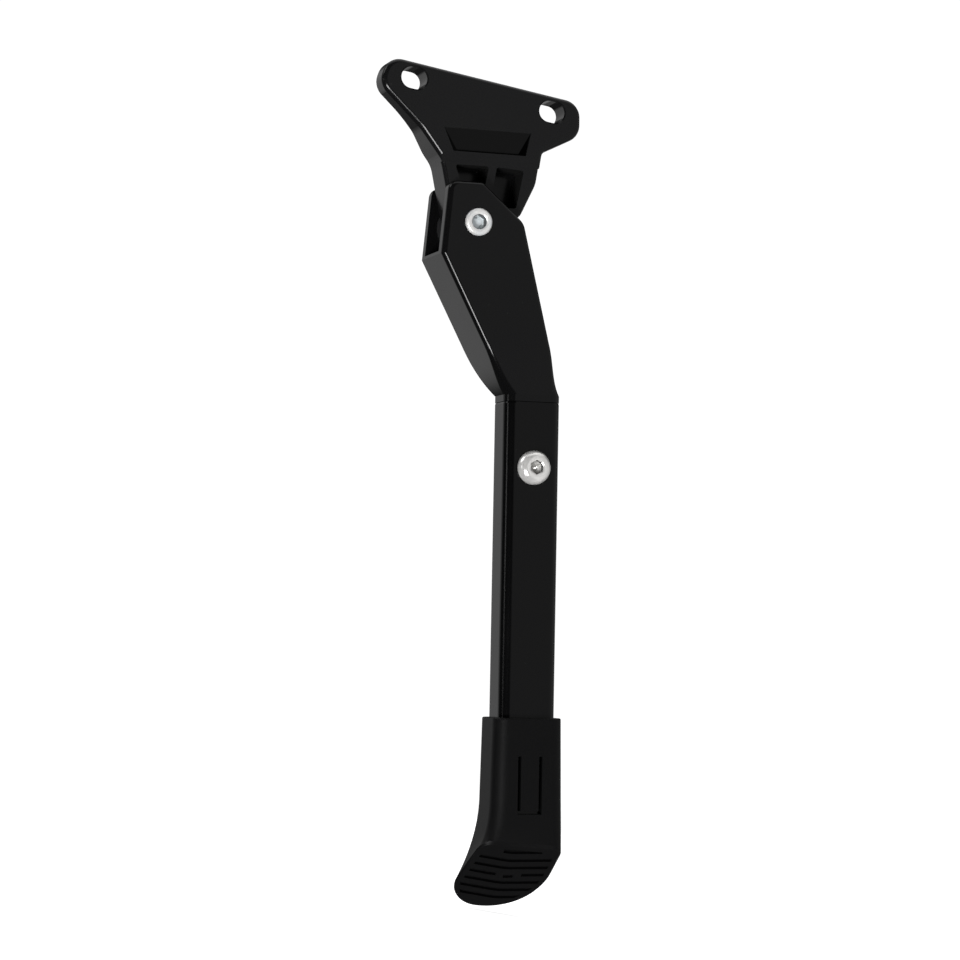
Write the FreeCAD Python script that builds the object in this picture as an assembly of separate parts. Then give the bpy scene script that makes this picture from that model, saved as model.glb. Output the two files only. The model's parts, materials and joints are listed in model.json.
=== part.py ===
import FreeCAD, Part
import math
import os

from FreeCAD import Vector

# Folding side stand of an electric scooter: a cast bracket is bolted to the scooter's frame, a forked
# arm swings on the bracket's knuckle, and a tube with a rubber foot hangs from the arm.
# Frame: X along the two frame bolts, Y from the scooter's frame outwards, Z up. The origin lies on the
# bracket's mating face, midway between the bolts. Millimetres and degrees.

# Bracket
bolt_spacing = 45.0
bolt_slot_width = 6.6
bolt_slot_length = 8.2
bolt_slot_chamfer = 0.4
ear_top = 5.0
ear_tip = 33.0
ear_tip_drop = 5.2
ear_tip_drop_left = 3.85
ear_shoulder = 31.3
ear_thickness = 8.4
wing_slope = 35.5
wing_slope_left = 34.5
wing_end_left = 17.6
neck_right = 21.9
neck_right_bottom = -23.0
ear_radius = 5.5
neck_corner_radius = 2.0
neck_bend_radius = 9.0
flank_bend_radius = 9.0
wing_bend_radius = 12.0
bracket_edge = 1.8
bracket_back_edge = 1.6
back_step_top = -9.0
back_step_bottom = -18.0
back_step_radius = 5.0

# Knuckle and cam
pivot_x = 4.2
pivot_z = -39.5
leg_plane = 8.0
knuckle_width = 12.9
knuckle_edge = 1.3
flank_lean = 69.2
flank_length = 20.7
cam_flat = 6.45
cam_peak = 8.0
cam_right = 7.0
cam_right_radius = 2.5
stop_height = 2.6
stop_gap = 0.2
stop_corner_radius = 1.4
lobe_right = 14.8
lobe_radius = 3.0

# Wedge recess and casting pockets of the bracket, placed in the deployed leg's directions
wedge_top = 29.4
wedge_bottom = 21.8
wedge_left = -10.7
wedge_right = 17.6
wedge_taper = 3.3
wedge_depth = 2.2
ledge_height = 18.5
ledge_lip = 0.6
pocket_top = 18.0
pocket_floor = 5.0
pocket_corner = 0.8
left_pocket_height = 8.6
right_pocket_drop = 0.6
boss_wall = 1.4
rib_left = 4.6
rib_width = 2.6
left_pocket_left = -6.3
right_pocket_right = 15.9
right_pocket_bottom = 5.6
pocket_lean = 0.19

# Swing
leg_lean = 9.0
fold_angle = 86.0

# Arm
fork_depth = 22.4
fork_slot = 14.0
fork_floor = 9.0
fork_wall = 9.2
fork_top = 12.5
fork_left_top = -9.2
fork_left_bottom = -11.3
fork_flat_end = 1.6
fork_shoulder_x = 15.0
fork_shoulder_z = 0.7
fork_root = -9.9
fork_edge = 1.8
fork_left_radius = 3.0
fork_right_radius = 2.0
fork_shoulder_radius = 5.0
fork_floor_radius = 1.0
crank_above_seat = 15.4
crank_left = 3.4
crank_right = 24.4
crank_lead = 2.0
throat_above_seat = 6.4
throat_left = 8.3
throat_right = 27.0
throat_depth = 17.6
throat_edge = 2.6
collar_height = 2.0
tube_offset = 20.5
arm_length = 53.4
tenon_length = 44.0
tenon_gap = 0.1

# Tube
tube_width = 18.0
tube_depth = 14.0
tube_radius = 3.5
tube_wall = 2.0
tube_length = 126.0

# Pivot set
shank_radius = 2.95
running_gap = 0.05
bush_wall = 1.0
press_gap = 0.02
head_radius = 4.2
head_height = 3.4
head_proud = 1.1
head_gap = 0.15
head_chamfer = 0.5
pivot_hex = 4.0
pivot_hex_depth = 2.5
pivot_mouth = 0.3
end_chamfer = 0.5
thread_radius = 2.5
thread_gap = 0.1
thrust_washer_radius = 7.5
thrust_washer_thickness = 0.5
nut_across_flats = 8.0
nut_height = 5.0
nut_collar_height = 1.3
nut_collar_radius = 3.4
nut_collar_edge = 0.6
nut_bevel = 30.0
back_washer_radius = 5.0
back_washer_thickness = 1.0
bolt_end_past_nut = 1.0

# Detent in the arm
plunger_radius = 3.45
plunger_length = 7.5
plunger_nose_radius = 1.0
plunger_spigot_radius = 1.9
plunger_spigot_length = 4.0
plunger_ride_gap = 0.05
plunger_bore_end = 26.0
spring_radius = 3.0
spring_wire = 0.9
spring_turns = 5.0
spring_end_gap = 0.05

# Tube screw, a button head with a hexagon socket
screw_radius = 3.0
screw_head_radius = 5.25
screw_head_height = 3.3
screw_rim_height = 0.6
screw_crown_radius = 2.9
screw_dome_bulge = 0.6
screw_hex = 4.0
screw_hex_depth = 2.1
screw_length = 10.0
screw_drop = 20.3
screw_hole_gap = 0.2

# Foot boot
boot_wall = 1.8
boot_gap = 0.1
boot_radius = 4.4
boot_cover = 29.5
boot_straight = 24.0
boot_draft = 0.45
flare_lead = 2.0
flare_start = 0.1
boot_rim_edge = 0.5
boot_floor_gap = 0.5
tongue_drop = 11.6
tongue_end_gap = 0.4
tongue_pitch = 6.75
tongue_slit = 1.0
barb_height = 1.6
barb_lift = 1.0
barb_length = 4.0
barb_width = 5.0
barb_gap = 0.3
sole_below_tube = 9.0
sole_tilt = 45.0
sole_edge = 0.7
sole_front = 0.2
sole_length = 29.2
sole_left = -15.2
sole_left_radius = 5.0
sole_right = 11.3
sole_right_radius = 3.4
sole_toe_right = 8.4
sole_toe_right_radius = 18.5
sole_toe_left = -21.2
sole_toe_left_radius = 9.8
groove_first = 7.3
groove_pitch = 3.35
groove_count = 6
groove_width = 1.3
groove_depth = 0.9
groove_margin = 2.2
groove_bend = -4.5
groove_slope = 7.5
groove_bend_radius = 15.0
broken_groove = 2
broken_gap = 2.5
broken_middle = 3.0
broken_shift = 0.5
toe_bar_place = 3.3
toe_bar_left = -7.0
toe_bar_right = 5.0
toe_bar_width = 2.0

UP = Vector(0, 0, 1)
ALONG_Y = Vector(0, 1, 0)
OVERSHOOT = 10.0

# Hinge angles measured in the leg's own directions, from straight down towards the tube side.
flank_in_leg = -(flank_lean + leg_lean)
plunger_tilt = flank_in_leg + fold_angle
fork_half = fork_depth / 2
slot_half = fork_slot / 2
knuckle_half = knuckle_width / 2
crank_drop = arm_length - crank_above_seat
throat_drop = arm_length - throat_above_seat
crank_left_slope = (crank_left - fork_left_bottom) / (crank_drop + fork_root)
crank_right_slope = (crank_right - fork_shoulder_x) / (crank_drop + fork_shoulder_z)
ride_level = cam_peak + plunger_ride_gap
boot_rim = -arm_length - tube_length + boot_cover
tongue_length = boot_cover - tongue_drop - tongue_end_gap


def towards(angle):
    """Unit vector in XZ that points down at angle 0 and turns towards +X."""
    turn = math.radians(angle)
    return Vector(math.sin(turn), 0, -math.cos(turn))


def turned_leg(shape):
    """Leg coordinates, with the pivot at their origin and the tube along -Z, set in the part's frame."""
    turn = FreeCAD.Rotation(ALONG_Y, -leg_lean)
    place = FreeCAD.Placement(Vector(pivot_x, leg_plane, pivot_z), turn)
    return shape.transformed(place.toMatrix(), True)


def turned_plunger(shape):
    """Detent coordinates, with the plunger along -Z under the pivot, set in leg coordinates."""
    turn = FreeCAD.Rotation(ALONG_Y, -plunger_tilt)
    return shape.transformed(FreeCAD.Placement(Vector(), turn).toMatrix(), True)


def from_leg(x, z):
    """A point of the deployed leg's XZ plane as a point of the bracket's outline."""
    turn = FreeCAD.Rotation(ALONG_Y, -leg_lean)
    return turn.multVec(Vector(x, 0, z)) + Vector(pivot_x, 0, pivot_z)


def outline(corners):
    """Closed wire through corners given as (point, radius), each rounded by its own radius."""
    rounds = []
    count = len(corners)
    for i, (corner, radius) in enumerate(corners):
        back = (corners[i - 1][0] - corner).normalize()
        ahead = (corners[(i + 1) % count][0] - corner).normalize()
        half = back.getAngle(ahead) / 2
        reach = radius / math.tan(half)
        middle = corner + (back + ahead).normalize() * (radius / math.sin(half) - radius)
        rounds.append((corner + back * reach, middle, corner + ahead * reach, radius))
    edges = []
    for i, (start, middle, end, radius) in enumerate(rounds):
        if radius > 0:
            edges.append(Part.Arc(start, middle, end).toShape())
        edges.append(Part.LineSegment(end, rounds[(i + 1) % count][0]).toShape())
    return Part.Wire(edges)


def slab(corners, low, high):
    """Prism along Y of an outline drawn in XZ."""
    face = Part.Face(outline(corners))
    face.translate(Vector(0, low, 0))
    return face.extrude(Vector(0, high - low, 0))


def along_x(points, low, high):
    """Prism along X of a plain polygon drawn in YZ."""
    corners = [(Vector(low, y, z), radius) for y, z, radius in points]
    return Part.Face(outline(corners)).extrude(Vector(high - low, 0, 0))


def rod(radius, low, high, x=0.0, z=0.0):
    """Cylinder along Y."""
    return Part.makeCylinder(radius, high - low, Vector(x, low, z), ALONG_Y)


def ring(outer, inner, low, high):
    """Plain ring about the pivot axis."""
    return rod(outer, low, high).cut(rod(inner, low - OVERSHOOT, high + OVERSHOOT))


def hexagon(across_flats, low, high):
    """Hexagonal prism along Y about the pivot axis."""
    radius = across_flats / math.sqrt(3)
    corners = [(towards(60 * i) * radius, 0) for i in range(6)]
    return slab(corners, low, high)


def leg_section(left, right, depth, radius, z):
    """Rounded rectangle across the leg, from its front left corner."""
    back = depth / 2
    corners = [(left, -back), (right, -back), (right, back), (left, back)]
    return outline([(Vector(x, y, z), radius) for x, y in corners])


def box_section(width, depth, radius, z):
    """Rounded rectangle about the tube's axis."""
    return leg_section(tube_offset - width / 2, tube_offset + width / 2, depth, radius, z)


def box_bar(width, depth, radius, top, bottom):
    """Straight bar of rounded rectangular section along the leg."""
    return Part.Face(box_section(width, depth, radius, top)).extrude(UP * (bottom - top))


def edges_on(shape, flat):
    """Edges whose whole length passes the test on their points."""
    return [e for e in shape.Edges if all(flat(p) for p in e.discretize(5))]


# Bracket
def mounting_bracket():
    left_slope = math.tan(math.radians(wing_slope_left))
    right_slope = math.tan(math.radians(wing_slope))
    wing_left_z = -ear_tip_drop_left - (ear_tip - wing_end_left) * left_slope
    wing_right_z = -ear_tip_drop - (ear_tip - neck_right) * right_slope
    pivot = Vector(pivot_x, 0, pivot_z)
    flank_foot = pivot + towards(-flank_lean) * cam_flat
    flank_top = flank_foot + towards(270 - flank_lean) * flank_length
    spread = math.cos(math.radians(fold_angle / 2))
    cam_corner = towards((flank_in_leg + plunger_tilt) / 2) * (cam_flat / spread)
    cam_round = (cam_flat / spread - cam_peak) / (1 / spread - 1)
    tilt = math.radians(plunger_tilt)
    cam_right_z = (cam_right * math.sin(tilt) - cam_flat) / math.cos(tilt)
    corners = [
        (Vector(-ear_shoulder, 0, ear_top), ear_radius),
        (Vector(ear_shoulder, 0, ear_top), ear_radius),
        (Vector(ear_tip, 0, -ear_tip_drop), ear_radius),
        (Vector(neck_right, 0, wing_right_z), neck_corner_radius),
        (Vector(neck_right, 0, neck_right_bottom), neck_bend_radius),
        (from_leg(lobe_right, stop_height), lobe_radius),
        (from_leg(cam_right, stop_height), stop_corner_radius),
        (from_leg(cam_right, cam_right_z), cam_right_radius),
        (from_leg(cam_corner.x, cam_corner.z), cam_round),
        (flank_top, flank_bend_radius),
        (Vector(-wing_end_left, 0, wing_left_z), wing_bend_radius),
        (Vector(-ear_tip, 0, -ear_tip_drop_left), ear_radius),
    ]
    knuckle_front = leg_plane - knuckle_half
    knuckle_back = leg_plane + knuckle_half
    plate = slab(corners, 0, knuckle_back)
    plate = plate.makeFillet(bracket_edge, edges_on(plate, lambda p: p.y < 0.01))
    knuckle = slab(corners, knuckle_front, knuckle_back)
    knuckle = knuckle.makeFillet(knuckle_edge, edges_on(knuckle, lambda p: p.y < knuckle_front + 0.01))

    reach = ear_tip + OVERSHOOT
    behind = knuckle_back + OVERSHOOT
    front = -leg_plane
    below_ledge = [
        (front - OVERSHOOT, wedge_bottom - ledge_lip, 0),
        (front, wedge_bottom - ledge_lip, 0),
        (-knuckle_half, ledge_height, 0),
        (knuckle_half + OVERSHOOT, ledge_height, 0),
        (knuckle_half + OVERSHOOT, -2 * cam_peak, 0),
        (front - OVERSHOOT, -2 * cam_peak, 0),
    ]
    plate = plate.cut(turned_leg(along_x(below_ledge, -reach, reach)))
    body = plate.fuse(knuckle).removeSplitter()
    behind_wings = [
        (ear_thickness, ear_top + OVERSHOOT, 0),
        (ear_thickness, back_step_top, back_step_radius),
        (knuckle_back, back_step_bottom, back_step_radius),
        (knuckle_back, pivot_z - OVERSHOOT, 0),
        (behind, pivot_z - OVERSHOOT, 0),
        (behind, ear_top + OVERSHOOT, 0),
    ]
    body = body.cut(along_x(behind_wings, -reach, reach))
    body = body.makeFillet(bracket_back_edge, back_rim(body))

    body = body.cut(turned_leg(wedge()))
    for pocket in pockets():
        body = body.cut(turned_leg(pocket))

    for side in (-1, 1):
        body = body.cut(bolt_slot(side * bolt_spacing / 2))
    bush_radius = shank_radius + running_gap + bush_wall + press_gap
    body = body.cut(rod(bush_radius, -OVERSHOOT, behind, pivot_x, pivot_z))
    return body


def back_rim(body):
    """Edges round the bracket's back, without the lines that cross its back step."""
    rim = []
    for edge in body.Edges:
        spans = edge.BoundBox
        crosses = spans.ZLength < 0.01 and spans.XLength > bolt_spacing / 2 and spans.ZMax < 0
        if spans.YMin > ear_thickness - 0.01 and not crosses:
            rim.append(edge)
    return rim


def bolt_slot(x):
    """Slot for one frame bolt, with its rim broken on both faces."""
    half = bolt_slot_width / 2
    run = (bolt_slot_length - bolt_slot_width) / 2

    def bevelled(face, outwards):
        edge = Part.makeCone(half + bolt_slot_chamfer, half, bolt_slot_chamfer, Vector(), outwards * -1)
        left = edge.translated(Vector(x - run, face, 0))
        right = edge.translated(Vector(x + run, face, 0))
        inner = face - outwards.y * bolt_slot_chamfer
        wide = half + bolt_slot_chamfer
        rim = [(face, wide), (inner, half), (inner, -half), (face, -wide)]
        between = along_x([(y, z, 0) for y, z in rim], x - run, x + run)
        return left.fuse([right, between])

    low = -OVERSHOOT
    high = ear_thickness + OVERSHOOT
    slot = Part.makeBox(2 * run, high - low, 2 * half, Vector(x - run, low, -half))
    ends = [rod(half, low, high, x + side * run) for side in (-1, 1)]
    return slot.fuse(ends + [bevelled(0, ALONG_Y * -1), bevelled(ear_thickness, ALONG_Y)])


def wedge():
    """Recess in the mating face that deepens downwards to a step, with sloped ends."""
    face = -leg_plane
    slope = wedge_taper / (wedge_top - wedge_bottom)
    floor = face + wedge_depth

    def level(y, z):
        left = wedge_left + slope * (wedge_top - z) + (y - face)
        right = wedge_right - slope * (wedge_top - z) / 2 - (y - face)
        return Vector(left, y, z), Vector(right, y, z)

    out = face - wedge_depth
    top = level(face, wedge_top)
    low_front = level(out, wedge_bottom)
    low_back = level(floor, wedge_bottom)
    top_front = level(out, wedge_top)
    faces = [
        [top_front[0], top_front[1], low_front[1], low_front[0]],
        [top[0], top[1], low_back[1], low_back[0]],
        [low_front[0], low_front[1], low_back[1], low_back[0]],
        [top_front[0], top_front[1], top[1], top[0]],
        [top_front[0], top[0], low_back[0]],
        [top_front[0], low_back[0], low_front[0]],
        [top_front[1], top[1], low_back[1]],
        [top_front[1], low_back[1], low_front[1]],
    ]
    shell = Part.makeShell([Part.Face(Part.makePolygon(f + [f[0]])) for f in faces])
    return Part.makeSolid(shell)


def pockets():
    """The two casting pockets beside the knuckle's rib, open to the mating side."""
    rib_right = rib_left + rib_width
    boss = cam_peak + boss_wall
    low = -leg_plane - OVERSHOOT
    high = knuckle_half - pocket_floor
    left_bottom = pocket_top - left_pocket_height
    left_lean = pocket_lean * left_pocket_height
    left = [
        (left_pocket_left, pocket_top),
        (rib_left, pocket_top),
        (rib_left - left_lean, left_bottom),
        (left_pocket_left + 2 * left_lean, left_bottom),
    ]
    right_drop = pocket_top - right_pocket_bottom
    right = [
        (rib_right, pocket_top),
        (right_pocket_right, pocket_top - right_pocket_drop),
        (right_pocket_right - pocket_lean * right_drop, right_pocket_bottom),
        (boss, right_pocket_bottom),
        (rib_right - pocket_lean * (pocket_top - boss), boss),
    ]
    shapes = []
    for points in (left, right):
        shapes.append(slab([(Vector(x, 0, z), pocket_corner) for x, z in points], low, high))
    return shapes


# Arm
def crank_right_at(z):
    return fork_shoulder_x + (fork_shoulder_z - z) * crank_right_slope


def crank_section(z):
    """Section of the arm's slanted stretch, which keeps the fork's depth and edges."""
    left = fork_left_bottom + (fork_root - z) * crank_left_slope
    return leg_section(left, crank_right_at(z), fork_depth, fork_edge, z)


def leg_arm():
    corners = [
        (Vector(fork_left_bottom, 0, fork_root), 0),
        (Vector(fork_left_top, 0, fork_top), fork_left_radius),
        (Vector(fork_flat_end, 0, fork_top), fork_right_radius),
        (Vector(fork_shoulder_x, 0, fork_shoulder_z), fork_shoulder_radius),
        (Vector(crank_right_at(fork_root), 0, fork_root), 0),
    ]
    fork = slab(corners, -fork_half, fork_half)
    rims = edges_on(fork, lambda p: abs(abs(p.y) - fork_half) < 0.01)
    fork = fork.makeFillet(fork_edge, [e for e in rims if e.CenterOfMass.z > fork_root + 0.01])

    foot = min(fork.Faces, key=lambda f: f.CenterOfMass.z)
    lead = crank_section(crank_lead - crank_drop)
    crank = Part.makeLoft([foot.OuterWire, lead], True, True)
    collar_top = collar_height - arm_length
    sections = [
        lead,
        crank_section(-crank_drop),
        leg_section(throat_left, throat_right, throat_depth, throat_edge, -throat_drop),
        box_section(tube_width, tube_depth, tube_radius, collar_top),
    ]
    throat = Part.makeLoft(sections, True, False)
    collar = box_bar(tube_width, tube_depth, tube_radius, collar_top, -arm_length)

    inner_width = tube_width - 2 * (tube_wall + tenon_gap)
    inner_depth = tube_depth - 2 * (tube_wall + tenon_gap)
    tenon_radius = tube_radius - tube_wall
    tenon = box_bar(inner_width, inner_depth, tenon_radius, -arm_length, -arm_length - tenon_length)
    arm = fork.fuse([crank, throat, collar, tenon]).removeSplitter()

    shoulder = stop_height - stop_gap
    far = fork_half + tube_offset
    slot = [
        (Vector(-far, 0, -fork_floor), 0),
        (Vector(fork_wall, 0, -fork_floor), fork_floor_radius),
        (Vector(fork_wall, 0, shoulder), 0),
        (Vector(far, 0, shoulder), 0),
        (Vector(far, 0, fork_top + OVERSHOOT), 0),
        (Vector(-far, 0, fork_top + OVERSHOOT), 0),
    ]
    arm = arm.cut(slab(slot, -slot_half, slot_half))

    counterbore = head_height - head_proud
    arm = arm.cut(rod(head_radius + head_gap, -fork_half - OVERSHOOT, -fork_half + counterbore))
    arm = arm.cut(rod(shank_radius + running_gap, -fork_half, 0))
    arm = arm.cut(rod(thread_radius + thread_gap, 0, fork_half + OVERSHOOT))

    bore_radius = plunger_radius + running_gap
    bore = Part.makeCylinder(bore_radius, plunger_bore_end, Vector(0, 0, -plunger_bore_end))
    arm = arm.cut(turned_plunger(bore))

    screw_z = -arm_length - screw_drop
    tapped = rod(screw_radius + running_gap, -tube_depth, tube_depth, tube_offset, screw_z)
    return arm.cut(tapped)


# Pivot set
def pivot_bush():
    outer = shank_radius + running_gap + bush_wall
    return ring(outer, shank_radius + running_gap, -knuckle_half, knuckle_half)


def pivot_bolt():
    seat = -fork_half + head_height - head_proud
    face = seat - head_height
    head = rod(head_radius, face, seat)
    head = head.makeChamfer(head_chamfer, edges_on(head, lambda p: p.y < face + 0.01))
    shank = rod(shank_radius, seat, slot_half)
    end = fork_half + back_washer_thickness + nut_height + bolt_end_past_nut
    thread = rod(thread_radius, slot_half, end)
    thread = thread.makeChamfer(end_chamfer, edges_on(thread, lambda p: p.y > end - 0.01))
    bolt = head.fuse([shank, thread]).removeSplitter()
    socket = hexagon(pivot_hex, face - OVERSHOOT, face + pivot_hex_depth)
    outer = pivot_hex / math.sqrt(3) + pivot_mouth
    mouth = Part.makeCone(outer, outer - 2 * pivot_mouth, 2 * pivot_mouth, Vector(0, face, 0), ALONG_Y)
    return bolt.cut(socket).cut(mouth)


def thrust_washers():
    bore = shank_radius + running_gap
    front = ring(thrust_washer_radius, bore, -slot_half, -slot_half + thrust_washer_thickness)
    back = ring(thrust_washer_radius, bore, slot_half - thrust_washer_thickness, slot_half)
    return Part.makeCompound([front, back])


def pivot_washer():
    back = fork_half + back_washer_thickness
    return ring(back_washer_radius, thread_radius + thread_gap, fork_half, back)


def pivot_nut():
    low = fork_half + back_washer_thickness
    high = low + nut_height
    shoulder = high - nut_collar_height
    corner = nut_across_flats / math.sqrt(3)
    drop = (corner - nut_across_flats / 2) * math.tan(math.radians(nut_bevel))
    crown = Part.makeCone(corner, nut_across_flats / 2, drop, Vector(0, shoulder - drop, 0), ALONG_Y)
    flats = hexagon(nut_across_flats, low, shoulder)
    flats = flats.common(rod(corner, low, shoulder - drop).fuse(crown))
    collar = rod(nut_collar_radius, low, high)
    collar = collar.makeFillet(nut_collar_edge, edges_on(collar, lambda p: p.y > high - 0.01))
    nut = flats.fuse(collar).removeSplitter()
    return nut.cut(rod(thread_radius + thread_gap / 2, low - OVERSHOOT, high + OVERSHOOT))


# Detent
def detent_plunger():
    body_end = ride_level + plunger_length
    body = Part.makeCylinder(plunger_radius, plunger_length, Vector(0, 0, -body_end))
    body = body.makeFillet(plunger_nose_radius, edges_on(body, lambda p: p.z > -ride_level - 0.01))
    spigot_end = body_end + plunger_spigot_length
    spigot = Part.makeCylinder(plunger_spigot_radius, plunger_spigot_length, Vector(0, 0, -spigot_end))
    spigot = spigot.makeChamfer(end_chamfer, edges_on(spigot, lambda p: p.z < -spigot_end + 0.01))
    return turned_plunger(body.fuse(spigot).removeSplitter())


def detent_spring():
    top = ride_level + plunger_length + spring_end_gap
    bottom = plunger_bore_end - spring_end_gap
    rise = bottom - top - spring_wire
    mean_radius = spring_radius - spring_wire / 2
    helix = Part.makeHelix(rise / spring_turns, rise, mean_radius)
    section = Part.Wire(Part.makeCircle(spring_wire / 2, Vector(mean_radius, 0, 0), ALONG_Y))
    coil = Part.Wire(helix).makePipeShell([section], True, True)
    coil.translate(Vector(0, 0, -bottom + spring_wire / 2))
    return turned_plunger(coil)


# Tube and screw
def leg_tube():
    top = -arm_length
    bottom = top - tube_length
    outer = box_bar(tube_width, tube_depth, tube_radius, top, bottom)
    inner = box_bar(
        tube_width - 2 * tube_wall,
        tube_depth - 2 * tube_wall,
        tube_radius - tube_wall,
        top + OVERSHOOT,
        bottom - OVERSHOOT,
    )
    tube = outer.cut(inner)
    tube = tube.cut(rod(screw_radius + screw_hole_gap, -tube_depth, 0, tube_offset, top - screw_drop))
    return tube.cut(tongue_block(barb_gap, tube_wall))


def tube_screw():
    z = -arm_length - screw_drop
    front = -tube_depth / 2
    rise = screw_head_height
    crown_edge = Vector(screw_crown_radius, -rise, 0)
    rim = Vector(screw_head_radius, -screw_rim_height, 0)
    chord = crown_edge - rim
    bulge = (rim + crown_edge) / 2 + Vector(-chord.y, chord.x, 0).normalize() * screw_dome_bulge
    foot = Vector(screw_head_radius, 0, 0)
    sides = [
        Part.LineSegment(Vector(0, 0, 0), foot).toShape(),
        Part.LineSegment(foot, rim).toShape(),
        Part.Arc(rim, bulge, crown_edge).toShape(),
        Part.LineSegment(crown_edge, Vector(0, -rise, 0)).toShape(),
        Part.LineSegment(Vector(0, -rise, 0), Vector(0, 0, 0)).toShape(),
    ]
    head = Part.Face(Part.Wire(sides)).revolve(Vector(), ALONG_Y, 360)
    shank = rod(screw_radius, 0, screw_length)
    shank = shank.makeChamfer(end_chamfer, edges_on(shank, lambda p: p.y > screw_length - 0.01))
    screw = head.fuse(shank).removeSplitter()
    screw = screw.cut(hexagon(screw_hex, -rise - OVERSHOOT, -rise + screw_hex_depth))
    return screw.translated(Vector(tube_offset, front, z))


# Foot boot
def sole_frame():
    """Origin, directions along and across the sole, and its outward normal, in leg coordinates."""
    back = FreeCAD.Rotation(ALONG_Y, leg_lean)
    tilt = math.radians(sole_tilt)
    normal = back.multVec(Vector(0, -math.sin(tilt), -math.cos(tilt)))
    across = Vector(1, 0, 0) - normal * normal.x
    across.normalize()
    towards_toe = normal.cross(across)
    if towards_toe.z > 0:
        towards_toe = towards_toe * -1
    drop = arm_length + tube_length + sole_below_tube
    origin = Vector(tube_offset, -boot_depth() / 2, -drop)
    return origin, across, towards_toe, normal


def sole_point(u, v):
    origin, across, towards_toe, _ = sole_frame()
    return origin + across * u + towards_toe * v


def sole_wire(inset=0.0):
    """The sole's outline: straight at the front, drawn out to a broad toe behind on the left."""
    corners = [
        (sole_left + inset, sole_front + inset, sole_left_radius),
        (sole_right - inset, sole_front + inset, sole_right_radius),
        (sole_toe_right - inset, sole_length - inset, sole_toe_right_radius - inset),
        (sole_toe_left + inset, sole_length - inset, sole_toe_left_radius - inset),
    ]
    return outline([(sole_point(u, v), radius) for u, v, radius in corners])


def boot_width():
    return tube_width + 2 * (boot_gap + boot_wall)


def boot_depth():
    return tube_depth + 2 * (boot_gap + boot_wall)


def tongue_block(side_gap, depth_gap):
    """The snap tongue's barb, or the window that it springs into when gaps are added."""
    bottom = boot_rim - tongue_drop - tongue_length + tongue_slit
    width = barb_width + 2 * side_gap
    front = -tube_depth / 2 - boot_gap
    corner = Vector(tube_offset - width / 2, front, bottom + barb_lift - side_gap)
    return Part.makeBox(width, boot_gap + barb_height + depth_gap, barb_length + 2 * side_gap, corner)


def groove(level, width, u_from, u_to):
    """One bent sole groove's cutter, as a strip that stands through the sole."""
    _, _, _, normal = sole_frame()
    slope = math.tan(math.radians(groove_slope))

    def middle(u):
        return level - slope * abs(u - groove_bend)

    half = width / 2
    spans_bend = u_from < groove_bend < u_to
    stations = [u_from, groove_bend, u_to] if spans_bend else [u_from, u_to]
    rounds = {groove_bend: groove_bend_radius} if spans_bend else {}
    upper = [(sole_point(u, middle(u) - half), rounds.get(u, 0)) for u in stations]
    lower = [(sole_point(u, middle(u) + half), rounds.get(u, 0)) for u in reversed(stations)]
    strip = Part.Face(outline(upper + lower))
    strip.translate(normal * OVERSHOOT)
    return strip.extrude(normal * -(OVERSHOOT + groove_depth))


def sole_grooves():
    cutters = [groove(toe_bar_place, toe_bar_width, toe_bar_left, toe_bar_right)]
    for i in range(groove_count):
        level = groove_first + i * groove_pitch
        if i == broken_groove:
            middle_end = groove_bend + broken_middle
            cutters.append(groove(level, groove_width, -sole_length, groove_bend - broken_gap))
            cutters.append(groove(level + broken_shift, groove_width, groove_bend, middle_end))
            cutters.append(groove(level, groove_width, middle_end + broken_gap, sole_length))
        else:
            cutters.append(groove(level, groove_width, -sole_length, sole_length))
    _, _, _, normal = sole_frame()
    field = Part.Face(sole_wire(groove_margin))
    field.translate(normal * OVERSHOOT)
    field = field.extrude(normal * -2 * OVERSHOOT)
    return [cutter.common(field) for cutter in cutters]


def foot_boot():
    width = boot_width()
    depth = boot_depth()
    knee_width = width + 2 * boot_draft
    knee = boot_rim - boot_straight
    knee_section = box_section(knee_width, depth, boot_radius, knee)
    lead_section = box_section(knee_width + flare_start, depth, boot_radius, knee - flare_lead)
    boot = Part.makeLoft([knee_section, lead_section, sole_wire()], True, False)
    _, _, _, normal = sole_frame()
    rim_edges = edges_on(boot, lambda p: abs((p - sole_point(0, 0)).dot(normal)) < 0.01)
    boot = boot.makeChamfer(sole_edge, rim_edges)
    rim_section = box_section(width, depth, boot_radius, boot_rim)
    sleeve = Part.makeLoft([rim_section, knee_section], True, True)
    sleeve = sleeve.makeFillet(boot_rim_edge, edges_on(sleeve, lambda p: p.z > boot_rim - 0.01))
    boot = boot.fuse(sleeve)

    tube_bottom = -arm_length - tube_length
    pocket = box_bar(
        tube_width + 2 * boot_gap,
        tube_depth + 2 * boot_gap,
        tube_radius,
        boot_rim + OVERSHOOT,
        tube_bottom - boot_floor_gap,
    )
    boot = boot.cut(pocket)

    top = boot_rim - tongue_drop
    front = -depth / 2 - OVERSHOOT
    through = OVERSHOOT + boot_wall + boot_gap
    for side in (-1, 1):
        left = tube_offset + side * tongue_pitch / 2 - tongue_slit / 2
        slit = Part.makeBox(tongue_slit, through, tongue_length, Vector(left, front, top - tongue_length))
        boot = boot.cut(slit)
    foot = Vector(tube_offset - tongue_pitch / 2, front, top - tongue_length)
    boot = boot.cut(Part.makeBox(tongue_pitch, through, tongue_slit, foot))
    boot = boot.fuse(tongue_block(0, 0)).removeSplitter()
    return boot.cut(sole_grooves())


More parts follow.
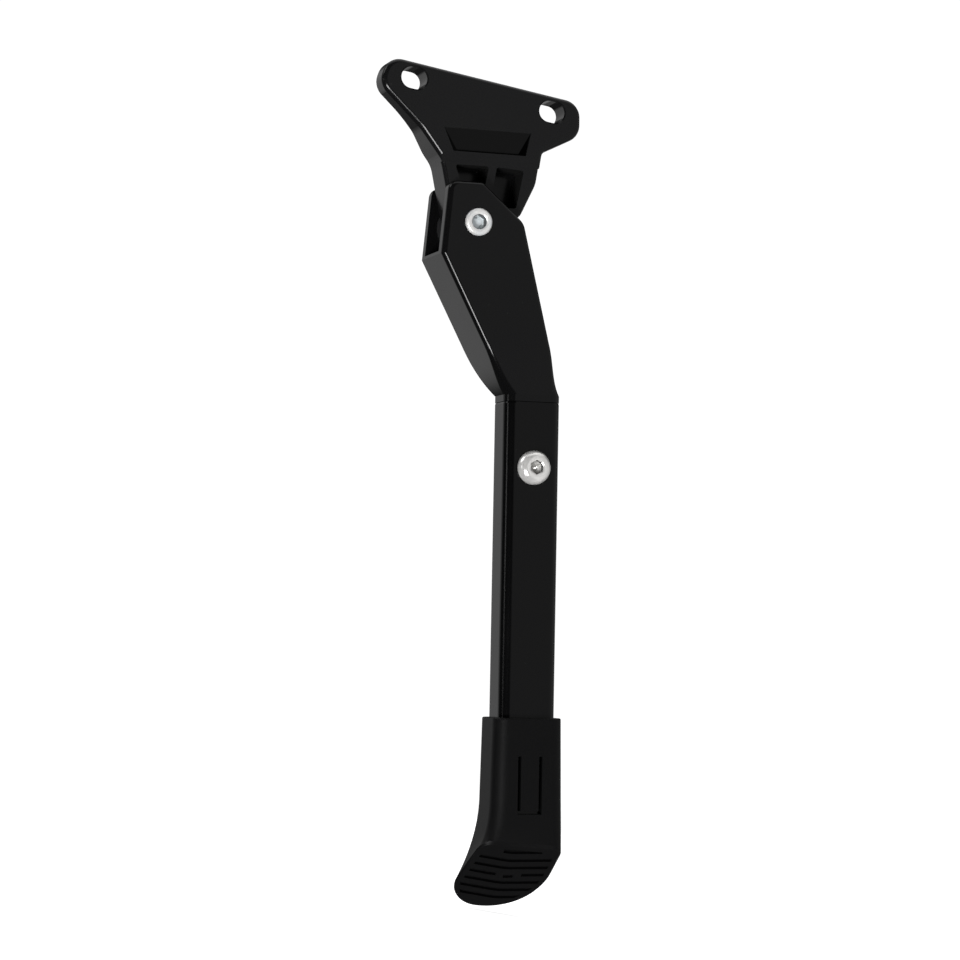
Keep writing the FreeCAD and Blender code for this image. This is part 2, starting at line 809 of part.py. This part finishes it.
os.makedirs("parts", exist_ok=True)
pieces = {
    "mounting_bracket": mounting_bracket(),
    "leg_arm": turned_leg(leg_arm()),
    "pivot_bush": turned_leg(pivot_bush()),
    "pivot_bolt": turned_leg(pivot_bolt()),
    "thrust_washers": turned_leg(thrust_washers()),
    "pivot_washer": turned_leg(pivot_washer()),
    "pivot_nut": turned_leg(pivot_nut()),
    "detent_plunger": turned_leg(detent_plunger()),
    "detent_spring": turned_leg(detent_spring()),
    "leg_tube": turned_leg(leg_tube()),
    "tube_screw": turned_leg(tube_screw()),
    "foot_boot": turned_leg(foot_boot()),
}
for name, shape in pieces.items():
    print(name, "solids", len(shape.Solids), "valid", shape.isValid(), "volume", round(shape.Volume, 1))
    shape.exportStep("parts/" + name + ".step")
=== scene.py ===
import json
import math

import bmesh
import bpy
from mathutils import Matrix, Vector


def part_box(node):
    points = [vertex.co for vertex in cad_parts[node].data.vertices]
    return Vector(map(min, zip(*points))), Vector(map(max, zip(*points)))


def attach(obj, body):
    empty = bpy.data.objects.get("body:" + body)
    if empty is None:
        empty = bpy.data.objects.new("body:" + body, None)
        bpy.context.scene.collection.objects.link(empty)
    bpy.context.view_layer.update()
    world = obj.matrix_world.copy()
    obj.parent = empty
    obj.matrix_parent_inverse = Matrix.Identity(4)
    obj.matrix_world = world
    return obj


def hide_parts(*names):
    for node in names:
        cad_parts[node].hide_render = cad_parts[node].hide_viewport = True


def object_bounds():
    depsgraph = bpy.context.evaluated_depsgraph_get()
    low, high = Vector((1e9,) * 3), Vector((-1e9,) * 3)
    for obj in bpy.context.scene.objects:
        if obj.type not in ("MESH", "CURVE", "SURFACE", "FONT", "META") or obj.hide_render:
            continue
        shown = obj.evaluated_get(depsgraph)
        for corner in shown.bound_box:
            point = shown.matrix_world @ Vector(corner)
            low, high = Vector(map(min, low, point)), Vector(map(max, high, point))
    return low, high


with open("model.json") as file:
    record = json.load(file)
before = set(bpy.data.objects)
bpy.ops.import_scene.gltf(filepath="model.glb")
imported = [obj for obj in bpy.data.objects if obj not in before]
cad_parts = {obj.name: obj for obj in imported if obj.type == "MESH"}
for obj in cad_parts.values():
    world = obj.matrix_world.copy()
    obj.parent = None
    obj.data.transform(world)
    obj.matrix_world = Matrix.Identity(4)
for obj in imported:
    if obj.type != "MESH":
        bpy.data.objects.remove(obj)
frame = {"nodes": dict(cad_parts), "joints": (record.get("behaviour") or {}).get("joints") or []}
cad_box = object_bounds()
nodes = frame["nodes"]


# Mounting bracket: an aluminium casting that is bolted to the scooter's frame by its two slots.
# Gloss black paint over the cast skin, slightly orange-peeled, with a few specks of dust, and
# painted shade in its wedge recess and pockets.
class Term:
    """A socket of a node tree that can be used in plain arithmetic."""

    def __init__(self, tree, socket=None):
        self.tree = tree
        self.socket = socket

    def node(self, kind, settings, inputs, output=0):
        """Adds a node, sets it up, fills its sockets and gives one of its outputs."""
        made = self.tree.nodes.new(kind)
        for key, value in settings.items():
            if key == "stops":
                ramp = made.color_ramp.elements
                while len(ramp) < len(value):
                    ramp.new(1.0)
                for stop, (place, shade) in zip(ramp, value):
                    stop.position = place
                    stop.color = (shade, shade, shade, 1.0)
            else:
                setattr(made, key, value)
        sockets = {socket.identifier: socket for socket in made.inputs}
        for key, value in inputs.items():
            if isinstance(value, Term):
                self.tree.links.new(value.socket, sockets[key])
            else:
                sockets[key].default_value = value
        return Term(self.tree, made.outputs[output] if made.outputs else None)

    def math(self, operation, first, second):
        inputs = {"Value": first, "Value_001": second}
        return self.node("ShaderNodeMath", {"operation": operation}, inputs)

    def __add__(self, other):
        return self.math("ADD", self, other)

    def __radd__(self, other):
        return self.math("ADD", other, self)

    def __sub__(self, other):
        return self.math("SUBTRACT", self, other)

    def __rsub__(self, other):
        return self.math("SUBTRACT", other, self)

    def __mul__(self, other):
        return self.math("MULTIPLY", self, other)

    def __rmul__(self, other):
        return self.math("MULTIPLY", other, self)

    def __pow__(self, other):
        return self.math("POWER", self, other)

    def sine(self):
        return self.node("ShaderNodeMath", {"operation": "SINE"}, {"Value": self})

    def noise(self, scale, detail=2.0, roughness=0.5):
        inputs = {"Vector": self, "Scale": scale, "Detail": detail, "Roughness": roughness}
        return self.node("ShaderNodeTexNoise", {}, inputs)

    def ramp(self, *stops):
        return self.node("ShaderNodeValToRGB", {"stops": stops}, {"Fac": self})

    def mix(self, first, second):
        inputs = {"Factor_Float": self, "A_Color": first, "B_Color": second}
        return self.node("ShaderNodeMix", {"data_type": "RGBA"}, inputs, 2)

    def parts(self):
        """The three numbers of a vector."""
        split = self.node("ShaderNodeSeparateXYZ", {}, {"Vector": self})
        return [Term(self.tree, output) for output in split.socket.node.outputs]

    def within(self, low, high, edge):
        """One between two values and nothing outside them, with soft edges."""
        kind = {"interpolation_type": "SMOOTHSTEP"}
        rise = {"Value": self, "From Min": low - edge, "From Max": low}
        fall = {"Value": self, "From Min": high + edge, "From Max": high}
        above = self.node("ShaderNodeMapRange", kind, rise)
        return above * self.node("ShaderNodeMapRange", kind, fall)

    def bump(self, strength, distance):
        inputs = {"Height": self, "Strength": strength, "Distance": distance}
        return self.node("ShaderNodeBump", {}, inputs)


def new_finish(name):
    """An empty material, and its Object coordinates to build the pattern on."""
    material = bpy.data.materials.new(name)
    material.use_nodes = True
    material.node_tree.nodes.clear()
    start = Term(material.node_tree)
    return material, start.node("ShaderNodeTexCoord", {}, {}, "Object")


def close_finish(place, sockets):
    """Ends a material in its shader, from the values and links of the shader's sockets."""
    shader = place.node("ShaderNodeBsdfPrincipled", {}, sockets)
    place.node("ShaderNodeOutputMaterial", {}, {"Surface": shader})


def opaque(colour, shade=1.0):
    """A colour with its alpha, made darker or lighter by a factor."""
    return tuple(c * shade for c in colour) + (1.0,)


def coat_with(mesh, material):
    """Gives a mesh one finish all over."""
    mesh.materials.clear()
    mesh.materials.append(material)


def dress(node, material):
    """Gives a CAD node its finish."""
    coat_with(nodes[node].data, material)


pivot = Vector(frame["joints"][0]["pos_m"])
leg_lean = math.radians(9.0)


def leg_place(place):
    """Places measured from the pivot: across the leaning leg, through it and along it."""
    x, y, z = place.parts()
    across = (x - pivot.x) * math.cos(leg_lean) + (z - pivot.z) * math.sin(leg_lean)
    along = (z - pivot.z) * math.cos(leg_lean) - (x - pivot.x) * math.sin(leg_lean)
    return across, y - pivot.y, along


def gloss_black(name, tone, peel, peel_depth, dust, shaded_hollows=None):
    """Sprayed gloss black: an even near-black with orange peel, faint smears and dust, and painted
    shade in any hollows given.
    """
    gloss = 0.14
    smear_dulls = 0.07
    dust_dulls = 0.3
    hollow_dulls = 0.75
    dust_grey = (0.05, 0.05, 0.05)
    painted_shade_black = (0.0, 0.0, 0.0)
    material, place = new_finish(name)
    smear = place.noise(scale=38.0, detail=4.0, roughness=0.6).ramp((0.35, 0.0), (0.75, 1.0))
    cloud = place.noise(scale=9.0, detail=3.0)
    speck = place.noise(scale=700.0, detail=1.0).ramp((0.0, 0.0), (1.0 - dust, 0.0), (1.0, 1.0))
    dark = opaque((0.75, 0.75, 0.8), tone)
    light = opaque((1.3, 1.3, 1.36), tone)
    coat = speck.mix(cloud.mix(dark, light), opaque(dust_grey))
    rough = gloss + smear_dulls * smear + dust_dulls * speck
    if shaded_hollows:
        recess_shade, pocket_shade_and_dull = shaded_hollows(place)
        # Painted shade: the hollows are painted black, as the shade that falls in them.
        coat = (recess_shade + pocket_shade_and_dull).mix(coat, opaque(painted_shade_black))
        rough = rough + hollow_dulls * pocket_shade_and_dull
    skin = place.noise(peel, detail=2.0, roughness=0.4)
    close_finish(place, {
        "Base Color": coat,
        "Roughness": rough,
        "IOR": 1.45,
        "Specular IOR Level": 0.25,
        "Normal": skin.bump(strength=0.15, distance=peel_depth),
    })
    return material


# Lowest place, highest place and soft edge of each hollow that is painted with shade: across the
# leg, through and along it.
wedge_recess = (
    (-0.0106, 0.0175, 0.0001),
    (-0.0078, -0.0052, 0.0001),
    (0.0219, 0.0293, 0.0001),
)
pocket_walls = (
    (-0.0066, 0.0162, 0.0002),
    (-0.0060, 0.0009, 0.0003),
    (0.0053, 0.0184, 0.0002),
)


def in_hollow(places, limits):
    """One inside a hollow of the bracket and nothing outside it."""
    across, through, along = (place.within(*limit) for place, limit in zip(places, limits))
    return across * along * through


def bracket_painted_shade(place):
    """The wedge recess and the pockets' walls, painted black as shade; the pockets' walls are also
    rougher.
    """
    places = leg_place(place)
    return in_hollow(places, wedge_recess), in_hollow(places, pocket_walls)


dress("mounting_bracket", gloss_black(
    "bracket_gloss", tone=0.0058, peel=620.0, peel_depth=0.00002, dust=0.24, shaded_hollows=bracket_painted_shade
))


# Pivot bush: a sintered bronze sleeve pressed into the bracket's knuckle.
# Its bore carries the bolt, and its two ends lie under the thrust washers.
def plain_metal(name, colour, shade, rough, grain):
    """Bare metal with a fine grain, a duller and a brighter tone of the same colour."""
    material, place = new_finish(name)
    flow = place.noise(grain, detail=3.0, roughness=0.6)
    stain = place.noise(scale=120.0, detail=3.0).ramp((0.3, 0.0), (0.7, 1.0))
    close_finish(place, {
        "Base Color": stain.mix(opaque(colour, shade), opaque(colour)),
        "Metallic": 1.0,
        "Roughness": rough + 0.18 * flow,
        "Normal": flow.bump(strength=0.2, distance=0.00002),
    })
    return material


dress("pivot_bush", plain_metal(
    "bush_bronze", colour=(0.5, 0.34, 0.15), shade=0.6, rough=0.3, grain=1800.0
))


# Leg arm: an aluminium casting, a fork round the knuckle that cranks down to the tube's size.
# The same gloss black paint as the bracket, a little smoother on its larger faces.
dress("leg_arm", gloss_black(
    "arm_gloss", tone=0.0035, peel=480.0, peel_depth=0.000015, dust=0.22
))


# Detent spring and plunger: bare spring wire and a hardened pin in the arm's bore.
# The spring presses the pin on the knuckle's cam, which holds the leg out or folded.
dress("detent_spring", plain_metal(
    "spring_wire", colour=(0.5, 0.5, 0.52), shade=0.7, rough=0.25, grain=2600.0
))
dress("detent_plunger", plain_metal(
    "plunger_steel", colour=(0.45, 0.45, 0.46), shade=0.7, rough=0.22, grain=2200.0
))


# Thrust washers: two plain nylon rings between the knuckle and the fork's cheeks.
# Black plastic, slightly greasy.
def plain_plastic(name, colour, rough, grain):
    """Dull plastic in two close tones of its colour, with a fine grain."""
    material, place = new_finish(name)
    cloud = place.noise(scale=300.0, detail=3.0)
    fine = place.noise(grain, detail=2.0)
    close_finish(place, {
        "Base Color": cloud.mix(opaque(colour, 0.8), opaque(colour)),
        "Roughness": rough + 0.15 * fine,
        "Normal": fine.bump(strength=0.2, distance=0.00002),
    })
    return material


dress("thrust_washers", plain_plastic(
    "washer_nylon", colour=(0.014, 0.014, 0.015), rough=0.4, grain=1500.0
))


# Pivot bolt: a turned steel shoulder bolt with a low round head and a hexagon socket.
# Bright zinc plate with turning marks round its axis, and a rolled M5 thread for the lock nut.
def turned_metal(name, centre, colour, tint, metallic, rough, rings, socket):
    """Bright metal with turning marks round an axis along Y, and a hexagon socket in its own colour
    whose walls are darkened as painted shade.
    """
    mouth, floor, inside = socket
    socket_reach = 0.0026
    socket_edge = 0.0001
    below_mouth = 0.0003
    under_floor = 0.0002
    above_floor = 0.0001
    depth_edge = 0.00003
    wall_shade = 0.16
    material, place = new_finish(name)
    x, y, z = place.parts()
    radius = ((x - centre.x) ** 2.0 + (z - centre.z) ** 2.0) ** 0.5
    sway = place.noise(scale=220.0, detail=3.0)
    marks = (radius * rings + 5.0 * sway).sine()
    cloud = place.noise(scale=260.0, detail=3.0, roughness=0.6)
    middle = radius.within(-socket_reach, socket_reach, socket_edge)
    hollow = middle * y.within(mouth + below_mouth, floor + under_floor, depth_edge)
    walls = middle * y.within(mouth + below_mouth, floor - above_floor, depth_edge)
    skin = cloud.ramp((0.35, 0.0), (0.65, 1.0)).mix(opaque(tint), opaque(colour))
    skin = hollow.mix(skin, opaque(inside))
    # Painted shade: the socket's walls are painted dark, as the shade inside the socket.
    skin = walls.mix(skin, opaque(inside, wall_shade))
    close_finish(place, {
        "Base Color": skin,
        "Metallic": metallic,
        "Roughness": rough + 0.12 * cloud,
        "Normal": marks.bump(strength=0.12, distance=0.00001),
    })
    return material


def join_up(mesh, reach):
    """Joins points that lie within a reach of each other, and drops the slivers that leaves."""
    work = bmesh.new()
    work.from_mesh(mesh)
    bmesh.ops.remove_doubles(work, verts=work.verts, dist=reach)
    bmesh.ops.dissolve_degenerate(work, dist=reach, edges=work.edges)
    bmesh.ops.triangulate(
        work, faces=work.faces, quad_method="SHORT_EDGE", ngon_method="BEAUTY"
    )
    work.to_mesh(mesh)
    work.free()


def put_in_scene(name, mesh):
    """A new object with its mesh, linked to the scene."""
    made = bpy.data.objects.new(name, mesh)
    bpy.context.scene.collection.objects.link(made)
    return made


def merged_copy(node, name):
    """A piece of its own with a node's mesh, its loose triangles joined up."""
    mesh = nodes[node].data.copy()
    mesh.name = name
    join_up(mesh, 1e-6)
    return put_in_scene(name, mesh)


def set_in(piece, node):
    """Hands a finished piece to the leg in place of its node."""
    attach(piece, "leg")
    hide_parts(node)


def smooth_round(mesh):
    """Smooths the round faces of a mesh and keeps its edges sharp."""
    for polygon in mesh.polygons:
        polygon.use_smooth = True
    mesh.set_sharp_from_angle(angle=math.radians(30.0))


def settle(piece):
    """Gives a piece the plain mesh that its modifiers make."""
    view = bpy.context.evaluated_depsgraph_get()
    made = bpy.data.meshes.new_from_object(piece.evaluated_get(view))
    piece.modifiers.clear()
    piece.data = made
    return made


def open_tree(name, sockets):
    """An empty tree for a piece, with its named inputs and the socket for its result."""
    tree = bpy.data.node_groups.new(name, "GeometryNodeTree")
    labels = {}
    for label, kind in sockets.items():
        kind = "NodeSocket" + kind
        made = tree.interface.new_socket(label, in_out="INPUT", socket_type=kind)
        labels[label] = made.identifier
    tree.interface.new_socket("Piece", in_out="OUTPUT", socket_type="NodeSocketGeometry")
    bench = Term(tree)
    given = {label: bench.node("NodeGroupInput", {}, {}, label) for label in labels}
    return bench, labels, given


def close_tree(shape, finish):
    """Ends a tree with its shape made real and given its finish."""
    whole = shape.node("GeometryNodeRealizeInstances", {}, {"Geometry": shape})
    inputs = {"Geometry": whole, "Material": finish}
    finished = whole.node("GeometryNodeSetMaterial", {}, inputs)
    result = finished.tree.interface.items_tree["Piece"].identifier
    finished.node("NodeGroupOutput", {}, {result: finished})


def shape_by(piece, tree, labels, values):
    """Runs a tree on a piece and leaves its plain mesh."""
    step = piece.modifiers.new(tree.name, "NODES")
    step.node_group = tree
    for label, value in values.items():
        step[labels[label]] = value
    return settle(piece)


bench, thread_labels, given = open_tree("cut_thread", {
    "Blank": "Geometry",
    "Pitch": "Float",
    "Path radius": "Float",
    "Groove size": "Float",
    "Turns": "Float",
    "Start": "Vector",
    "Finish": "Material",
})
thread_tree = bench.tree
helix = bench.node("GeometryNodeCurveSpiral", {}, {
    "Resolution": 48,
    "Rotations": given["Turns"],
    "Start Radius": given["Path radius"],
    "End Radius": given["Path radius"],
    "Height": given["Turns"] * given["Pitch"],
    "Reverse": True,
})
upright = bench.node("GeometryNodeSetCurveNormal", {"mode": "Z_UP"}, {"Curve": helix})
groove = bench.node("GeometryNodeCurvePrimitiveCircle", {}, {
    "Resolution": 3, "Radius": given["Groove size"],
})
inwards = bench.node("GeometryNodeTransform", {}, {
    "Geometry": groove, "Rotation": (0.0, 0.0, math.pi),
})
cutter = bench.node("GeometryNodeCurveToMesh", {}, {
    "Curve": upright, "Profile Curve": inwards, "Fill Caps": True,
})
placed = bench.node("GeometryNodeTransform", {}, {
    "Geometry": cutter, "Translation": given["Start"],
})
cut = bench.node("GeometryNodeMeshBoolean", {"operation": "DIFFERENCE", "solver": "EXACT"}, {
    "Mesh 1": given["Blank"], "Mesh 2": placed,
})
close_tree(cut, given["Finish"])

to_millimetres = Matrix.Scale(1000.0, 4)


def to_bench(axis):
    """From the part's metres to millimetres along a bolt on Y, from the pivot's plane."""
    upended = Matrix.Rotation(math.radians(90.0), 4, "X")
    return to_millimetres @ upended @ Matrix.Translation((-axis.x, -pivot.y, -axis.z))


def cut_thread(node, finish, axis, pitch, radius, start, end):
    """Cuts a V thread, in mm from the pivot's plane, on a copy of a bolt that lies along Y."""
    depth = 0.62 * pitch
    base_past_bolt = 0.12
    triangle_height = 1.5  # of a triangle in a circle of radius 1
    size = (depth + base_past_bolt) / triangle_height
    piece = merged_copy(node, node + "_threaded")
    bench_place = to_bench(axis)
    piece.data.transform(bench_place)
    mesh = shape_by(piece, thread_tree, thread_labels, {
        "Pitch": pitch,
        "Path radius": radius - depth + size,
        "Groove size": size,
        "Turns": (end - start) / pitch,
        "Start": (0.0, 0.0, start),
        "Finish": finish,
    })
    join_up(mesh, 0.002)
    mesh.transform(bench_place.inverted())
    smooth_round(mesh)
    set_in(piece, node)


head_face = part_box("pivot_bolt")[0].y
pivot_hex_depth = 0.0025
bright_zinc = turned_metal(
    "pivot_zinc",
    centre=pivot,
    colour=(0.93, 0.92, 0.9),
    tint=(0.83, 0.85, 0.86),
    metallic=0.4,
    rough=0.3,
    rings=22000.0,
    socket=(head_face, head_face + pivot_hex_depth, (0.9, 0.97, 1.0)),
)
cut_thread(
    "pivot_bolt", bright_zinc, pivot, pitch=0.8, radius=2.5, start=8.2, end=18.8
)


# Pivot washer and lock nut: standard zinc-plated parts behind the far cheek.
# The nut's round collar is hollowed for a nylon ring that grips the thread.
dress("pivot_washer", bright_zinc)

bench, ring_labels, given = open_tree("turned_ring", {
    "Path radius": "Float",
    "Width": "Float",
    "Height": "Float",
    "Rounding": "Float",
    "Place": "Vector",
    "Finish": "Material",
})
ring_tree = bench.tree
path = bench.node("GeometryNodeCurvePrimitiveCircle", {}, {
    "Resolution": 72, "Radius": given["Path radius"],
})
upright = bench.node("GeometryNodeSetCurveNormal", {"mode": "Z_UP"}, {"Curve": path})
section = bench.node("GeometryNodeCurvePrimitiveQuadrilateral", {}, {
    "Width": given["Width"], "Height": given["Height"],
})
softened = bench.node("GeometryNodeFilletCurve", {"mode": "POLY"}, {
    "Curve": section, "Count": 3, "Radius": given["Rounding"],
})
ring = bench.node("GeometryNodeCurveToMesh", {}, {
    "Curve": upright, "Profile Curve": softened,
})
placed = bench.node("GeometryNodeTransform", {}, {
    "Geometry": ring, "Translation": given["Place"],
})
close_tree(placed, given["Finish"])


def turned_ring(name, finish, inner, outer, near, far, rounding):
    """A ring round the pivot's axis, in mm from the pivot's plane."""
    piece = put_in_scene(name, bpy.data.meshes.new(name))
    shape_by(piece, ring_tree, ring_labels, {
        "Path radius": (inner + outer) / 2,
        "Width": outer - inner,
        "Height": far - near,
        "Rounding": rounding,
        "Place": (0.0, 0.0, (near + far) / 2),
        "Finish": finish,
    })
    return piece


nut_end = 17.2
hollow = turned_ring(
    "nut_hollow", bright_zinc,
    inner=2.4, outer=3.0, near=nut_end - 1.2, far=nut_end + 0.2, rounding=0.05,
)
nut = merged_copy("pivot_nut", "pivot_nut_collared")
bench_place = to_bench(pivot)
nut.data.transform(bench_place)
hollowing = nut.modifiers.new("hollow", "BOOLEAN")
hollowing.operation = "DIFFERENCE"
hollowing.solver = "EXACT"
hollowing.object = hollow
settle(nut)
nut.data.transform(bench_place.inverted())
coat_with(nut.data, bright_zinc)
smooth_round(nut.data)
set_in(nut, "pivot_nut")
bpy.data.objects.remove(hollow)

insert_nylon = plain_plastic(
    "insert_nylon", colour=(0.018, 0.018, 0.019), rough=0.45, grain=1700.0
)
insert = turned_ring(
    "nut_insert", insert_nylon,
    inner=2.56, outer=2.98, near=nut_end - 1.18, far=nut_end - 0.25, rounding=0.12,
)
insert.data.transform(bench_place.inverted())
smooth_round(insert.data)
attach(insert, "leg")


# Leg tube: a drawn aluminium tube of flat-sided section, pushed over the arm's tenon.
# Gloss black paint, smoother than on the castings, and a broken edge at its upper end,
# which shows as the seam under the arm.
tube_top = -0.0534
tube_axis = 0.0205
tube_bevel = 0.0007
bevel_steps = 2
bevel_fullness = 0.6
level_slack = 0.00005
flat_within = math.radians(0.2)
wall_slope = 0.1
across_leg = Vector((math.cos(leg_lean), 0.0, math.sin(leg_lean)))
along_leg = Vector((-math.sin(leg_lean), 0.0, math.cos(leg_lean)))


def on_outer_rim(edge):
    """Whether an edge lies at the tube's upper end, on its outer wall."""
    levels = [(vertex.co - pivot).dot(along_leg) for vertex in edge.verts]
    if min(levels) < tube_top - level_slack or len(edge.link_faces) != 2:
        return False
    middle = (edge.verts[0].co + edge.verts[1].co) / 2 - pivot
    outwards = across_leg * (middle.dot(across_leg) - tube_axis) + Vector((0.0, middle.y, 0.0))
    walls = [face for face in edge.link_faces if abs(face.normal.dot(along_leg)) < wall_slope]
    return any(wall.normal.dot(outwards) > 0 for wall in walls)


tube = merged_copy("leg_tube", "leg_tube_bevelled")
work = bmesh.new()
work.from_mesh(tube.data)
bmesh.ops.dissolve_limit(work, angle_limit=flat_within, verts=work.verts, edges=work.edges)
rim = [edge for edge in work.edges if on_outer_rim(edge)]
bmesh.ops.bevel(
    work, geom=rim, offset=tube_bevel, segments=bevel_steps, profile=bevel_fullness, affect="EDGES"
)
work.to_mesh(tube.data)
work.free()
smooth_round(tube.data)
tube.data.transform(to_millimetres)
flats = tube.modifiers.new("flats", "WEIGHTED_NORMAL")
flats.keep_sharp = True
flats.weight = 100
settle(tube)
tube.data.transform(to_millimetres.inverted())
coat_with(tube.data, gloss_black(
    "tube_gloss", tone=0.002, peel=260.0, peel_depth=0.00001, dust=0.2
))
set_in(tube, "leg_tube")


# Tube screw: a stainless button-head screw with a hexagon socket and an M6 thread.
# It goes through the tube's front wall into the arm's tenon and holds the tube on it.
screw_near, screw_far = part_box("tube_screw")
screw_centre = (screw_near + screw_far) / 2
screw_head_height = 0.0033
screw_hex_depth = 0.0021
plain_neck = 1.0
run_out = 0.8
bright_steel = turned_metal(
    "screw_stainless",
    centre=screw_centre,
    colour=(0.95, 0.94, 0.92),
    tint=(0.88, 0.87, 0.85),
    metallic=0.5,
    rough=0.12,
    rings=16000.0,
    socket=(screw_near.y, screw_near.y + screw_hex_depth, (0.9, 0.89, 0.86)),
)
shank_start = (screw_near.y + screw_head_height - pivot.y) * 1000
shank_end = (screw_far.y - pivot.y) * 1000
cut_thread(
    "tube_screw", bright_steel, screw_centre,
    pitch=1.0, radius=3.0, start=shank_start + plain_neck, end=shank_end + run_out,
)


# Foot boot: a moulded rubber shoe pushed over the tube's end and held by its snap tongue.
# Matt black rubber with a fine moulded grain.
def black_rubber(name):
    """Matt rubber in two close tones of black, with a moulded grain."""
    material, place = new_finish(name)
    grain = place.noise(scale=2400.0, detail=2.0)
    cloud = place.noise(scale=60.0, detail=3.0)
    close_finish(place, {
        "Base Color": cloud.mix(opaque((0.0024, 0.0024, 0.0026)), opaque((0.0038, 0.0038, 0.004))),
        "Roughness": 0.42 + 0.12 * grain,
        "Specular IOR Level": 0.11,
        "Normal": grain.bump(strength=0.2, distance=0.00003),
    })
    return material


dress("foot_boot", black_rubber("boot_rubber"))


# Studio: a pale floor that glows faintly, and a tent of soft lights round the stand.
# Each light is a round patch of the surround, given by its direction and its half angles.
floor_level = cad_box[0].z - 0.001
floor_half = 6.0
corners = [(-1, -1), (1, -1), (1, 1), (-1, 1)]
floor_sheet = bpy.data.meshes.new("studio_floor")
floor_sheet.from_pydata(
    [(x * floor_half, y * floor_half, floor_level) for x, y in corners], [], [(0, 1, 2, 3)]
)
floor = put_in_scene("studio_floor", floor_sheet)
floor_paint, floor_place = new_finish("floor_paint")
mottle = floor_place.noise(scale=3.0, detail=2.0)
close_finish(floor_place, {
    "Base Color": mottle.mix(opaque((0.88, 0.88, 0.88)), opaque((0.92, 0.92, 0.92))),
    "Roughness": 0.9,
    "Specular IOR Level": 0.0,
    "Emission Color": opaque((1.0, 1.0, 1.0)),
    "Emission Strength": 0.8,
})
coat_with(floor_sheet, floor_paint)
floor.visible_glossy = False
floor.visible_diffuse = False
floor.visible_shadow = False

world = bpy.data.worlds.new("studio")
world.use_nodes = True
world.node_tree.nodes.clear()
start = Term(world.node_tree)
facing = start.node("ShaderNodeTexCoord", {}, {}, "Generated")


def glow(towards, inner, outer, radiance):
    """A round soft light in the surround, full inside one angle and gone outside the other."""
    inputs = {"Vector": facing, "Vector_001": tuple(Vector(towards).normalized())}
    along = facing.node("ShaderNodeVectorMath", {"operation": "DOT_PRODUCT"}, inputs, "Value")
    reach = {
        "Value": along,
        "From Min": math.cos(math.radians(outer)),
        "From Max": math.cos(math.radians(inner)),
        "To Min": 0.0,
        "To Max": radiance,
    }
    return along.node("ShaderNodeMapRange", {"interpolation_type": "SMOOTHSTEP"}, reach)


backdrop = 1.05
lights = 0.03
for towards, inner, outer, radiance in (
    ((-0.45, 0.88, 0.05), 21.0, 31.0, 0.5),  # behind, on the left
    ((-0.485, -0.705, -0.515), 6.0, 12.5, 34.0),  # in front, low on the left
    ((-0.985, -0.15, -0.09), 2.0, 5.0, 4.0),  # left
    ((0.75, -0.65, 0.1), 48.0, 62.0, 0.45),  # in front, on the right
    ((0.68, 0.70, -0.15), 20.0, 30.0, 0.45),  # behind, on the right
    ((0.0, 0.25, 1.0), 20.0, 50.0, 1.2),  # overhead
    ((-0.82, 0.19, 0.53), 8.0, 16.0, 3.0),  # high on the left
    ((0.45, 0.0, -0.9), 16.0, 32.0, 0.25),  # below, on the right
):
    lights = lights + glow(towards, inner, outer, radiance)
seen = start.node("ShaderNodeLightPath", {}, {}, "Is Camera Ray")
surround = start.node("ShaderNodeBackground", {}, {
    "Color": opaque((1.0, 1.0, 1.0)), "Strength": seen * backdrop + (1.0 - seen) * lights,
})
start.node("ShaderNodeOutputWorld", {}, {"Surface": surround})
bpy.context.scene.world = world
bpy.context.scene.view_settings.view_transform = "Standard"


# Camera: the photograph's view, from the mating side and a little below, turned with the stand.
# A long lens from just under a metre, so the stand keeps nearly parallel edges.
camera_distance = 0.907
camera_aim = Vector((0.02342, 0.01246, -0.11476))
look_azimuth = math.radians(17.78)
look_rise = math.radians(6.21)
camera_roll = math.radians(9.65)
lens = bpy.data.cameras.new("photo_view")
lens.sensor_fit = "HORIZONTAL"
lens.sensor_width = 36.0
lens.lens = 110.6
lens.clip_end = 50.0
camera = put_in_scene("photo_view", lens)
flat = math.cos(look_rise)
look = Vector((math.sin(look_azimuth) * flat, math.cos(look_azimuth) * flat, math.sin(look_rise)))
camera.location = camera_aim - look * camera_distance
roll = Matrix.Rotation(camera_roll, 4, "Z")
camera.rotation_euler = (look.to_track_quat("-Z", "Y").to_matrix().to_4x4() @ roll).to_euler()
bpy.context.scene.camera = camera
